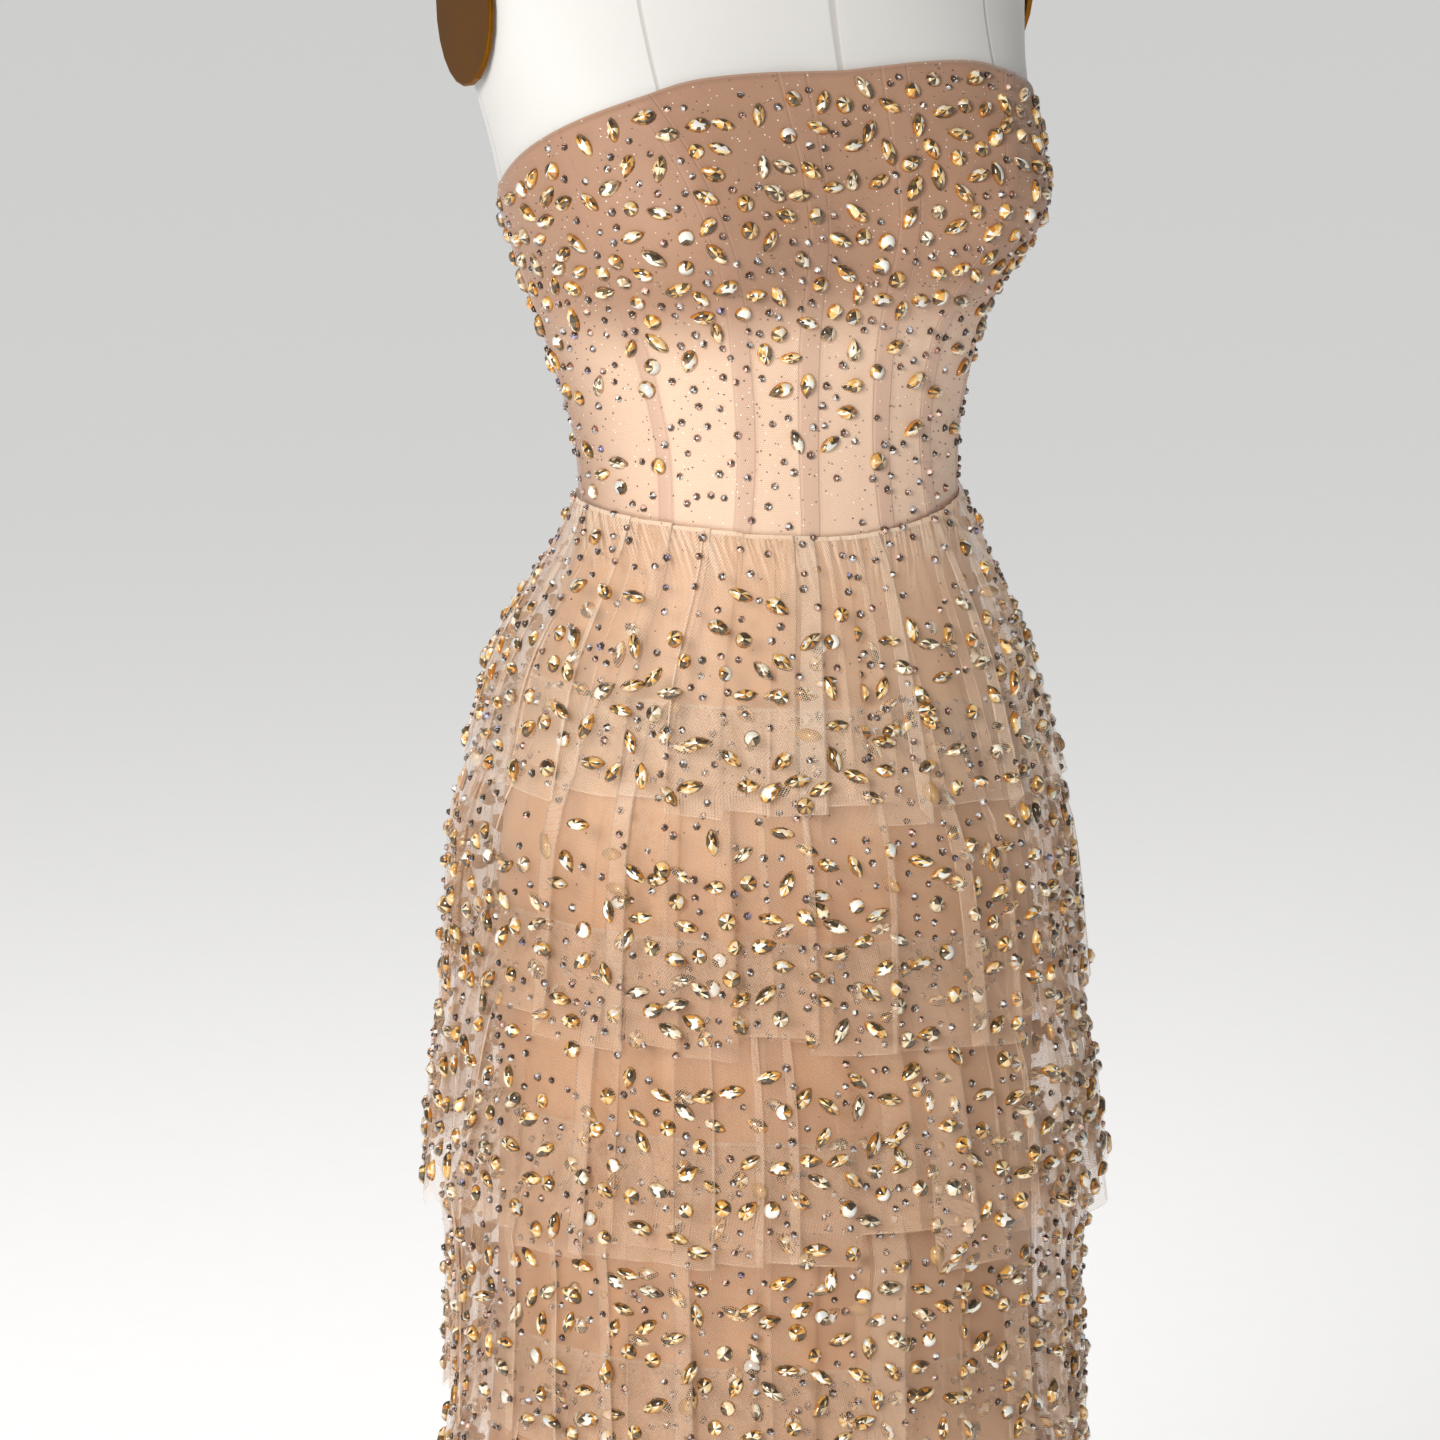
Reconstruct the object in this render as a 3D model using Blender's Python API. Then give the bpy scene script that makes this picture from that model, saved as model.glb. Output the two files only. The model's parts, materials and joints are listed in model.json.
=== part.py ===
"""Strapless evening gown of pleated net in seven tiers, worn by a limbless dress form on a round stand."""

import bisect
import math
from collections import namedtuple

import bmesh
import bpy
from mathutils import Matrix, Vector

# Driving sizes, in metres. The front faces -Y, the wearer's right is -X and the floor is z = 0.
WAIST_HEIGHT = 1.067
WAIST_DIP = 0.0125
WAIST_DIP_SPREAD = 50.0
SEAM_GAP = 0.0003
BODICE_WALL = 0.0015
BODICE_CLEARANCE = 0.001
BONING_RISE = 0.0006
BONING_WIDTH = 0.005
LINING_WALL = 0.0012
NET_WALL = 0.001
BODICE_RADIUS = 0.125

Section = namedtuple("Section", "height half_width centre_y half_depth")
Seam = namedtuple("Seam", "waist middle top")
Panel = namedtuple("Panel", "name inner_seam outer_seam columns")
EdgePoint = namedtuple("EdgePoint", "degrees height")
Ring = namedtuple("Ring", "height half_width centre_y half_depth fold_depth")
TurnedPoint = namedtuple("TurnedPoint", "radius height")

FORM_SECTIONS = (
    Section(0.800, 0.1490, 0.0020, 0.1190),
    Section(0.860, 0.1540, 0.0040, 0.1230),
    Section(0.920, 0.1480, 0.0040, 0.1170),
    Section(0.980, 0.1290, 0.0020, 0.1020),
    Section(1.020, 0.1180, 0.0000, 0.0945),
    Section(1.058, 0.1125, -0.0005, 0.0910),
    Section(1.083, 0.1135, 0.0010, 0.0890),
    Section(1.106, 0.1165, 0.0020, 0.0880),
    Section(1.136, 0.1245, 0.0050, 0.0910),
    Section(1.171, 0.1345, 0.0085, 0.0960),
    Section(1.200, 0.1440, 0.0120, 0.1020),
    Section(1.235, 0.1545, 0.0145, 0.1075),
    Section(1.270, 0.1605, 0.0190, 0.1080),
    Section(1.300, 0.1670, 0.0250, 0.1070),
    Section(1.335, 0.1760, 0.0300, 0.1040),
    Section(1.370, 0.1820, 0.0350, 0.1020),
    Section(1.400, 0.1790, 0.0360, 0.0960),
    Section(1.425, 0.1620, 0.0360, 0.0860),
    Section(1.445, 0.1320, 0.0350, 0.0760),
    Section(1.460, 0.1000, 0.0330, 0.0680),
    Section(1.475, 0.0760, 0.0320, 0.0620),
    Section(1.500, 0.0620, 0.0290, 0.0590),
    Section(1.545, 0.0580, 0.0230, 0.0560),
)
HIP_ROWS = (0.80, 0.83, 0.86, 0.89, 0.92, 0.95, 0.98, 1.015)
SHOULDER_ROWS = (1.335, 1.36, 1.385, 1.405, 1.425, 1.443, 1.458, 1.473, 1.50, 1.545)
ROWS_ABOVE_NECKLINE = 2
ARM_FLAT = 0.176

BUST_HEIGHT = 1.234
BUST_REACH = 0.033
BUST_SIDE = 40.0
BUST_SPREAD = 21.0
BUST_ABOVE = 0.055
BUST_BELOW = 0.035

# Seams in degrees from the centre front, at the waist, under the bust and at the top edge.
SEAMS = {
    "centre_front": Seam(12.8, 10.5, 11.0),
    "princess": Seam(33.5, 29.0, 42.0),
    "side_front": Seam(57.5, 55.5, 64.0),
    "side": Seam(100.0, 98.0, 97.0),
    "side_back": Seam(140.0, 140.0, 141.0),
    "centre_back": Seam(180.0, 180.0, 180.0),
}
SIDE_PANELS = (
    Panel("inner_front", "centre_front", "princess", 3),
    Panel("side_front", "princess", "side_front", 3),
    Panel("side", "side_front", "side", 4),
    Panel("side_back", "side", "side_back", 4),
    Panel("back", "side_back", "centre_back", 4),
)
CENTRE_COLUMNS = 3
BODICE_ROWS = 10
TOP_EDGE = (
    EdgePoint(0, 1.3200),
    EdgePoint(17, 1.3215),
    EdgePoint(31, 1.3190),
    EdgePoint(41, 1.3115),
    EdgePoint(54, 1.3000),
    EdgePoint(70, 1.2830),
    EdgePoint(100, 1.2500),
    EdgePoint(120, 1.2320),
    EdgePoint(150, 1.2080),
    EdgePoint(180, 1.1980),
)

LINING_SECTIONS = (
    Section(0.030, 0.2960, 0.0000, 0.2920),
    Section(0.120, 0.2690, 0.0000, 0.2600),
    Section(0.250, 0.2260, 0.0000, 0.2120),
    Section(0.380, 0.1890, 0.0000, 0.1700),
    Section(0.500, 0.1690, 0.0010, 0.1470),
    Section(0.650, 0.1630, 0.0020, 0.1370),
    Section(0.800, 0.1640, 0.0030, 0.1350),
    Section(0.860, 0.1610, 0.0040, 0.1310),
    Section(0.920, 0.1540, 0.0040, 0.1240),
    Section(0.980, 0.1360, 0.0020, 0.1090),
    Section(1.020, 0.1230, 0.0000, 0.0990),
    Section(1.050, 0.1160, -0.0005, 0.0945),
    Section(1.070, 0.1155, -0.0005, 0.0940),
)
LINING_HEM = 0.030
LINING_HALF_COLUMNS = 16
LINING_ROWS_BETWEEN_TIERS = (0.12, 0.30, 0.45, 0.72, 0.86, 0.945, 0.98, 1.02)

# Each flounce, hem first, swells out from its seat on the lining, just above the hem over it.
TIERS = (
    (
        Ring(0.903, 0.1820, 0.0040, 0.1535, 0.0040),
        Ring(0.975, 0.1610, 0.0030, 0.1330, 0.0026),
        Ring(1.040, 0.1295, -0.0025, 0.1070, 0.0012),
    ),
    (Ring(0.770, 0.1965, 0.0030, 0.1690, 0.0055), Ring(0.868, 0.1880, 0.0040, 0.1610, 0.0035)),
    (Ring(0.653, 0.2085, 0.0020, 0.1810, 0.0055), Ring(0.735, 0.1985, 0.0030, 0.1730, 0.0035)),
    (Ring(0.519, 0.1965, 0.0010, 0.1740, 0.0055), Ring(0.618, 0.1930, 0.0020, 0.1690, 0.0035)),
    (Ring(0.370, 0.2240, 0.0000, 0.2070, 0.0060), Ring(0.484, 0.1960, 0.0010, 0.1750, 0.0040)),
    (Ring(0.205, 0.2760, 0.0000, 0.2640, 0.0065), Ring(0.334, 0.2240, 0.0000, 0.2090, 0.0040)),
    (Ring(0.022, 0.3300, 0.0000, 0.3240, 0.0070), Ring(0.168, 0.2770, 0.0000, 0.2660, 0.0045)),
)
TIER_FOLDS = (30, 30, 30, 28, 26, 26, 28)
TIER_OVERLAP = 0.015
SEAT_FOLD_DEPTH = 0.0006
POINTS_PER_FOLD = 3
FOLD_LEAN = 1.0
SEAT_SLOPE_ALLOWANCE = 1.3

ARM_PLATE_HEIGHT = 1.355
ARM_PLATE_Y = 0.035
ARM_PLATE_HALF_WIDTH = 0.033
ARM_PLATE_HALF_HEIGHT = 0.046
ARM_PLATE_THICKNESS = 0.004
NECK_PLATE_MARGIN = 0.002
NECK_PLATE_THICKNESS = 0.010
PLATE_SIDES = 24

POLE_RADIUS = 0.0125
POLE_SIDES = 20
BASE_SIDES = 40
BASE_PROFILE = (
    TurnedPoint(0.165, 0.000),
    TurnedPoint(0.168, 0.006),
    TurnedPoint(0.158, 0.014),
    TurnedPoint(0.050, 0.022),
    TurnedPoint(0.030, 0.030),
    TurnedPoint(0.023, 0.055),
)

LINEN = (0.86, 0.85, 0.83, 1.0)
NUDE_BODICE = (0.72, 0.52, 0.40, 1.0)
PEACH_LINING = (0.80, 0.60, 0.46, 1.0)
NUDE_NET = (0.84, 0.68, 0.56, 1.0)
BRONZE = (0.18, 0.09, 0.03, 1.0)
BLACK_IRON = (0.05, 0.05, 0.055, 1.0)


def clear_scene():
    for old in list(bpy.data.objects):
        bpy.data.objects.remove(old, do_unlink=True)


def material(name, colour, roughness, metallic=0.0):
    finish = bpy.data.materials.new(name)
    finish.use_nodes = True
    shader = finish.node_tree.nodes["Principled BSDF"]
    shader.inputs["Base Color"].default_value = colour
    shader.inputs["Roughness"].default_value = roughness
    shader.inputs["Metallic"].default_value = metallic
    return finish


def object_from(name, shape, finish):
    """Makes a named object from a bmesh, smooth but for its sharp edges."""
    mesh = bpy.data.meshes.new(name)
    shape.to_mesh(mesh)
    shape.free()
    mesh.shade_smooth()
    mesh.set_sharp_from_angle(angle=math.radians(40))
    mesh.materials.append(finish)
    made = bpy.data.objects.new(name, mesh)
    bpy.context.scene.collection.objects.link(made)
    return made


def smooth_row(rows, at):
    """Every column after the first, read between the rows of a table on a smooth curve."""
    keys = [row[0] for row in rows]
    last = len(rows) - 1
    i = min(max(bisect.bisect_right(keys, at) - 1, 0), last - 1)
    before, low, high, after = rows[max(i - 1, 0)], rows[i], rows[i + 1], rows[min(i + 2, last)]
    span = high[0] - low[0]
    t = (at - low[0]) / span
    values = []
    for a, b, c, d in zip(before[1:], low[1:], high[1:], after[1:]):
        slope_low = (c - a) / (high[0] - before[0]) * span
        slope_high = (d - b) / (after[0] - low[0]) * span
        values.append(
            b * (2 * t**3 - 3 * t**2 + 1)
            + c * (3 * t**2 - 2 * t**3)
            + slope_low * (t**3 - 2 * t**2 + t)
            + slope_high * (t**3 - t**2)
        )
    return values


def oval_point(oval, angle, height, outward=0.0):
    """A point of an oval ring, moved out along its normal. Angle 0 is the centre front."""
    half_width, centre_y, half_depth = oval
    across, along = math.sin(angle), -math.cos(angle)
    normal = Vector((across / half_width, along / half_depth)).normalized()
    x = half_width * across + normal.x * outward
    y = centre_y + half_depth * along + normal.y * outward
    return Vector((x, y, height))


def bust_swell(angle, height):
    rise = (height - BUST_HEIGHT) / (BUST_ABOVE if height > BUST_HEIGHT else BUST_BELOW)
    swell = 0.0
    for side in (-1, 1):
        across = (math.degrees(angle) - side * BUST_SIDE) / BUST_SPREAD
        swell += BUST_REACH * math.exp(-(across**2 + rise**2) / 2)
    return swell


def form_point(angle, height, outward=0.0):
    """A point of the dress form's surface, or of cloth that lies that far out from it."""
    point = oval_point(smooth_row(FORM_SECTIONS, height), angle, height, outward + bust_swell(angle, height))
    point.x = max(-ARM_FLAT, min(ARM_FLAT, point.x))
    return point


def top_edge_height(angle):
    return smooth_row(TOP_EDGE, abs(math.degrees(angle)))[0]


def waist_height(angle):
    """The waist seam dips at the centre front."""
    from_front = math.degrees(math.remainder(angle, 2 * math.pi))
    return WAIST_HEIGHT - WAIST_DIP * math.exp(-((from_front / WAIST_DIP_SPREAD) ** 2))


def bodice_height(angle, rise):
    """The height at a share of the way from the waist seam to the top edge."""
    return waist_height(angle) + rise * (top_edge_height(angle) - waist_height(angle))


def lining_point(angle, height, outward=0.0):
    return oval_point(smooth_row(LINING_SECTIONS, height), angle, height, outward)


def seam_angle(name, rise):
    """A seam's angle at a share of the way up the bodice, on a curve through its three places."""
    seam = SEAMS[name]
    degrees = (
        seam.waist * (1 - rise) * (1 - 2 * rise)
        + seam.middle * 4 * rise * (1 - rise)
        + seam.top * rise * (2 * rise - 1)
    )
    return math.radians(degrees)


def column_angles(rise):
    """The dress form's columns, which follow the bodice's, all round from the centre back."""
    half = []
    for panel in SIDE_PANELS:
        start, end = seam_angle(panel.inner_seam, rise), seam_angle(panel.outer_seam, rise)
        half += [start + (end - start) * i / panel.columns for i in range(panel.columns)]
    half.append(math.pi)
    edge = half[0]
    middle = [edge * (2 * i / CENTRE_COLUMNS - 1) for i in range(1, CENTRE_COLUMNS)]
    return [-angle for angle in reversed(half)] + middle + half[:-1]


def ring_faces(shape, rows):
    """Joins rings of vertices, lowest first, with faces that point out."""
    for low, high in zip(rows, rows[1:]):
        count = len(low)
        for i in range(count):
            j = (i + 1) % count
            shape.faces.new((low[i], low[j], high[j], high[i]))


def form_torso(finish):
    rows = []
    for height in HIP_ROWS:
        rows.append([form_point(angle, height) for angle in column_angles(0)])
    for step in range(BODICE_ROWS + 1):
        rise = step / BODICE_ROWS
        rows.append([form_point(angle, bodice_height(angle, rise)) for angle in column_angles(rise)])
    for step in range(ROWS_ABOVE_NECKLINE):
        share = (step + 1) / (ROWS_ABOVE_NECKLINE + 1)
        ring = []
        for angle in column_angles(1):
            edge = top_edge_height(angle)
            ring.append(form_point(angle, edge + share * (SHOULDER_ROWS[0] - edge)))
        rows.append(ring)
    for height in SHOULDER_ROWS:
        rows.append([form_point(angle, height) for angle in column_angles(1)])
    shape = bmesh.new()
    rings = [[shape.verts.new(point) for point in row] for row in rows]
    ring_faces(shape, rings)
    shape.faces.new(reversed(rings[0]))
    shape.faces.new(rings[-1])
    return object_from("form_torso", shape, finish)


def wall_between(name, outer, inner, finish):
    """A closed wall between two grids of points with the same rows and columns."""
    shape = bmesh.new()
    front = [[shape.verts.new(point) for point in row] for row in outer]
    back = [[shape.verts.new(point) for point in row] for row in inner]
    for grid in (front, back):
        for low, high in zip(grid, grid[1:]):
            for i in range(len(low) - 1):
                shape.faces.new((low[i], low[i + 1], high[i + 1], high[i]))
    edges = (
        (front[0], back[0]),
        (front[-1], back[-1]),
        ([row[0] for row in front], [row[0] for row in back]),
        ([row[-1] for row in front], [row[-1] for row in back]),
    )
    for near, far in edges:
        for i in range(len(near) - 1):
            shape.faces.new((near[i], near[i + 1], far[i + 1], far[i]))
    bmesh.ops.recalc_face_normals(shape, faces=shape.faces)
    return object_from(name, shape, finish)


def panel_columns(start, end, columns):
    """(angle, raised) for each column of a panel: its seams have a boning channel along them."""
    half_gap = SEAM_GAP / BODICE_RADIUS / 2
    channel = BONING_WIDTH / BODICE_RADIUS
    inside = [start + (end - start) * i / columns for i in range(1, columns)]
    return (
        [(start + half_gap, True), (start + channel, True)]
        + [(angle, False) for angle in inside]
        + [(end - channel, True), (end - half_gap, True)]
    )


def bodice_panel(name, seams, columns, finish):
    """One boned panel between two seams, given as (seam, side) with side -1 on the wearer's right."""
    (first, first_side), (second, second_side) = seams
    outer, inner = [], []
    for step in range(BODICE_ROWS + 1):
        rise = step / BODICE_ROWS
        start, end = first_side * seam_angle(first, rise), second_side * seam_angle(second, rise)
        outer_row, inner_row = [], []
        for angle, raised in panel_columns(start, end, columns):
            height = bodice_height(angle, rise) + SEAM_GAP / 2 * (1 - rise)
            outward = BODICE_CLEARANCE + BODICE_WALL + (BONING_RISE if raised else 0.0)
            outer_row.append(form_point(angle, height, outward))
            inner_row.append(form_point(angle, height, BODICE_CLEARANCE))
        outer.append(outer_row)
        inner.append(inner_row)
    return wall_between(name, outer, inner, finish)


def bodice(finish):
    centre = (("centre_front", -1), ("centre_front", 1))
    bodice_panel("bodice_centre_front", centre, CENTRE_COLUMNS, finish)
    for panel in SIDE_PANELS:
        left = ((panel.inner_seam, 1), (panel.outer_seam, 1))
        right = ((panel.outer_seam, -1), (panel.inner_seam, -1))
        bodice_panel(f"bodice_{panel.name}_left", left, panel.columns, finish)
        bodice_panel(f"bodice_{panel.name}_right", right, panel.columns, finish)


def tier_top(number):
    """The height at which a lower flounce is sewn to the lining."""
    return TIERS[number - 1][0].height + TIER_OVERLAP


def seat_height(number, angle):
    """The first flounce is sewn into the waist seam, and the others go round level."""
    return tier_top(number) if number else waist_height(angle) - SEAM_GAP / 2


def skirt_lining(finish):
    """Front and back of the opaque lining, from the waist to just above the floor."""
    tops = [tier_top(number) for number in range(1, len(TIERS))]
    heights = sorted([LINING_HEM, *LINING_ROWS_BETWEEN_TIERS, *tops])
    half_gap = SEAM_GAP / 2 / LINING_SECTIONS[-1].half_width
    for name, facing in (("front", 0.0), ("back", math.pi)):
        angles = []
        for step in range(LINING_HALF_COLUMNS + 1):
            share = 2 * step / LINING_HALF_COLUMNS - 1
            angles.append(facing + share * (math.pi / 2 - half_gap))
        outer = [[lining_point(angle, height) for angle in angles] for height in heights]
        inner = [[lining_point(angle, height, -LINING_WALL) for angle in angles] for height in heights]
        outer.append([lining_point(angle, seat_height(0, angle)) for angle in angles])
        inner.append([lining_point(angle, seat_height(0, angle), -LINING_WALL) for angle in angles])
        wall_between(f"skirt_lining_{name}", outer, inner, finish)


def fold_turns(number, half_width, depth):
    """(angle, reach) round one ring of a flounce: leaning folds, as uneven as hand-set pleats."""
    steps = TIER_FOLDS[number] * POINTS_PER_FOLD
    turns = []
    for step in range(steps):
        turn = 2 * math.pi * step / steps
        uneven = 1 + 0.25 * math.sin(5 * turn + number) + 0.15 * math.sin(9 * turn + 2 * number)
        reach = depth * uneven * math.sin(2 * math.pi * step / POINTS_PER_FOLD)
        turns.append((turn + FOLD_LEAN * reach / half_width, reach))
    return turns


def net_tier(number, finish):
    rows = []
    for ring in TIERS[number]:
        oval = (ring.half_width, ring.centre_y, ring.half_depth)
        turns = fold_turns(number, ring.half_width, ring.fold_depth)
        rows.append([oval_point(oval, angle, ring.height, reach) for angle, reach in turns])
    stand_off = SEAM_GAP + SEAT_SLOPE_ALLOWANCE * NET_WALL + SEAT_FOLD_DEPTH
    turns = fold_turns(number, TIERS[number][-1].half_width, SEAT_FOLD_DEPTH)
    rows.append([lining_point(a, seat_height(number, a), stand_off + reach) for a, reach in turns])
    shape = bmesh.new()
    ring_faces(shape, [[shape.verts.new(point) for point in row] for row in rows])
    flounce = object_from(f"net_tier_{number + 1}", shape, finish)
    wall = flounce.modifiers.new("net_wall", "SOLIDIFY")
    wall.thickness = NET_WALL
    wall.offset = -1.0
    wall.use_even_offset = True
    wall.use_rim = True
    return flounce


def round_plate(name, half_sizes, thickness, placing, finish):
    """An oval plate with softened edges, made flat on the floor and then turned to its place."""
    shape = bmesh.new()
    bmesh.ops.create_cone(
        shape, cap_ends=True, segments=PLATE_SIDES, radius1=1.0, radius2=1.0, depth=thickness
    )
    bmesh.ops.scale(shape, vec=(half_sizes[0], half_sizes[1], 1.0), verts=shape.verts)
    bmesh.ops.transform(shape, matrix=placing, verts=shape.verts)
    plate = object_from(name, shape, finish)
    edge = plate.modifiers.new("soft_edge", "BEVEL")
    edge.width = thickness / 3
    edge.segments = 2
    return plate


def form_fittings(finish):
    """The bronze plates that close the armholes and the neck."""
    for name, side in (("left", 1), ("right", -1)):
        out = ARM_FLAT + SEAM_GAP + ARM_PLATE_THICKNESS / 2
        place = Matrix.Translation((side * out, ARM_PLATE_Y, ARM_PLATE_HEIGHT))
        turn = Matrix.Rotation(math.pi / 2, 4, "Y")
        halves = (ARM_PLATE_HALF_HEIGHT, ARM_PLATE_HALF_WIDTH)
        round_plate(f"form_arm_plate_{name}", halves, ARM_PLATE_THICKNESS, place @ turn, finish)
    neck = FORM_SECTIONS[-1]
    middle = neck.height + SEAM_GAP + NECK_PLATE_THICKNESS / 2
    place = Matrix.Translation((0.0, neck.centre_y, middle))
    halves = (neck.half_width + NECK_PLATE_MARGIN, neck.half_depth + NECK_PLATE_MARGIN)
    round_plate("form_neck_plate", halves, NECK_PLATE_THICKNESS, place, finish)


def form_stand(finish):
    """A turned round base and the pole that carries the torso."""
    shape = bmesh.new()
    axis_points = (TurnedPoint(0.0, 0.0), *BASE_PROFILE, TurnedPoint(0.0, BASE_PROFILE[-1].height))
    profile = [shape.verts.new((point.radius, 0.0, point.height)) for point in axis_points]
    edges = [shape.edges.new(pair) for pair in zip(profile, profile[1:])]
    bmesh.ops.spin(
        shape,
        geom=profile + edges,
        cent=(0.0, 0.0, 0.0),
        axis=(0.0, 0.0, 1.0),
        angle=2 * math.pi,
        steps=BASE_SIDES,
        use_merge=True,
    )
    bmesh.ops.remove_doubles(shape, verts=shape.verts, dist=0.00001)
    bmesh.ops.recalc_face_normals(shape, faces=shape.faces)
    object_from("form_base", shape, finish)

    bottom = BASE_PROFILE[-1].height + SEAM_GAP
    top = FORM_SECTIONS[0].height - SEAM_GAP
    pole = bmesh.new()
    bmesh.ops.create_cone(
        pole, cap_ends=True, segments=POLE_SIDES, radius1=POLE_RADIUS, radius2=POLE_RADIUS, depth=top - bottom
    )
    bmesh.ops.translate(pole, vec=(0.0, 0.0, (top + bottom) / 2), verts=pole.verts)
    object_from("form_pole", pole, finish)


def main():
    clear_scene()
    form_torso(material("form_linen", LINEN, 0.9))
    form_fittings(material("bronze_plate", BRONZE, 0.35, 1.0))
    form_stand(material("black_iron", BLACK_IRON, 0.5, 0.6))
    bodice(material("nude_bodice", NUDE_BODICE, 0.7))
    skirt_lining(material("peach_lining", PEACH_LINING, 0.6))
    net = material("nude_net", NUDE_NET, 0.8)
    for number in range(len(TIERS)):
        net_tier(number, net)


main()
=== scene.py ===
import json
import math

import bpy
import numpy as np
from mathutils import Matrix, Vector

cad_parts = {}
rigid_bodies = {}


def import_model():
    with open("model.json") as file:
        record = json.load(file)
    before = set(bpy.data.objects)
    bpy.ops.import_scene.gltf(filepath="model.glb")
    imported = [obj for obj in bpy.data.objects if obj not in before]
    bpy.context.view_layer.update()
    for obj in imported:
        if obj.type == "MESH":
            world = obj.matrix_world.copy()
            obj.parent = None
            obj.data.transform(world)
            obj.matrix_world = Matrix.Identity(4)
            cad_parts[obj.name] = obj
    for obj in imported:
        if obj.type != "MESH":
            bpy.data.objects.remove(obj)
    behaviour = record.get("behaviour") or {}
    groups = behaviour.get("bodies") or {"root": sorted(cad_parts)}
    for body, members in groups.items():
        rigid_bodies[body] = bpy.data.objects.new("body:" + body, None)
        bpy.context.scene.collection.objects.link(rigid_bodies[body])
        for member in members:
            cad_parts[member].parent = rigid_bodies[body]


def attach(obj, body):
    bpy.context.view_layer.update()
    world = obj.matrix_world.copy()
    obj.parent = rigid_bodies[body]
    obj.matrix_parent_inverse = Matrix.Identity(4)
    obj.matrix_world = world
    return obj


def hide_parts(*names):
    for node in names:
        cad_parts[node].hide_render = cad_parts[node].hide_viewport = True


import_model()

# %% [markdown]
# # A strapless net gown with sewn stones, on a dress form
#
# The solids of the gown are loaded above as a fixed frame, in their true sizes. This lesson dresses them.
# It makes finer cloth over the same sections, gives every surface its weave, seams and wear, and sews
# thousands of stones to the net, which are too many and too small for the solids.
#
# Everything is in metres. The front of the gown faces -Y and the wearer's left is +X.

scene = bpy.context.scene
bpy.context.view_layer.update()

# %% [markdown]
# ## Sections and a smooth way to read them
#
# A tailor works from measurements at a few heights, and so does this script. A table row holds a height,
# a half width, the middle's place from front to back, and a half depth. A body is close to an ellipse at
# each height, and a smooth curve between the rows gives the rest. The tables repeat the solids' sizes.

# %% Reading tables and ovals
def smooth_columns(table, at):
    """Every column after the first, read between the rows of a table on a smooth curve."""
    rows = np.array(table, dtype=float)
    at = np.asarray(at, dtype=float)
    last = len(rows) - 1
    i = np.clip(np.searchsorted(rows[:, 0], at, side="right") - 1, 0, last - 1)
    before, low, high, after = rows[np.maximum(i - 1, 0)], rows[i], rows[i + 1], rows[np.minimum(i + 2, last)]
    span = high[..., :1] - low[..., :1]
    t = (at[..., None] - low[..., :1]) / span
    slope_low = (high[..., 1:] - before[..., 1:]) / (high[..., :1] - before[..., :1]) * span
    slope_high = (after[..., 1:] - low[..., 1:]) / (after[..., :1] - low[..., :1]) * span
    ends = low[..., 1:] * (2 * t**3 - 3 * t**2 + 1) + high[..., 1:] * (3 * t**2 - 2 * t**3)
    return ends + slope_low * (t**3 - 2 * t**2 + t) + slope_high * (t**3 - t**2)


def oval_points(ovals, angles, heights, outward):
    """Points on oval rings, moved out along their normals. Angle 0 is the centre front."""
    half_width, centre_y, half_depth = ovals[..., 0], ovals[..., 1], ovals[..., 2]
    across, along = np.sin(angles), -np.cos(angles)
    lean_x, lean_y = across / half_width, along / half_depth
    size = np.hypot(lean_x, lean_y)
    x = half_width * across + lean_x / size * outward
    y = centre_y + half_depth * along + lean_y / size * outward
    return np.stack(np.broadcast_arrays(x, y, heights), axis=-1)


def soft_step(value, low, high):
    """0 below low, 1 above high, and a smooth rise between."""
    t = np.clip((value - low) / (high - low), 0, 1)
    return t * t * (3 - 2 * t)


# %% [markdown]
# ## Cloth from a grid of points
#
# Cloth is a sheet, so a grid of points describes it well. Each piece gets a UV map in metres of flat
# cloth, and a weave or a net with its real size then follows every fold. Named attributes carry what a
# maker knows about each spot, such as its distance from a seam.

# %% From a grid to a mesh
def flat_measures(points):
    """Distance along each row and up each column, in metres, with one more column to close the tube."""
    ring = np.concatenate([points, points[:, :1]], axis=1)
    across = np.linalg.norm(np.diff(ring, axis=1), axis=2)
    u = np.concatenate([np.zeros((len(points), 1)), np.cumsum(across, axis=1)], axis=1)
    up = np.linalg.norm(np.diff(ring, axis=0), axis=2)
    v = np.concatenate([np.zeros((1, ring.shape[1])), np.cumsum(up, axis=0)], axis=0)
    return u - u[:, -1:] / 2, v


def placed(name, data):
    """A new object in the scene, at the origin."""
    made = bpy.data.objects.new(name, data)
    scene.collection.objects.link(made)
    return made


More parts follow.
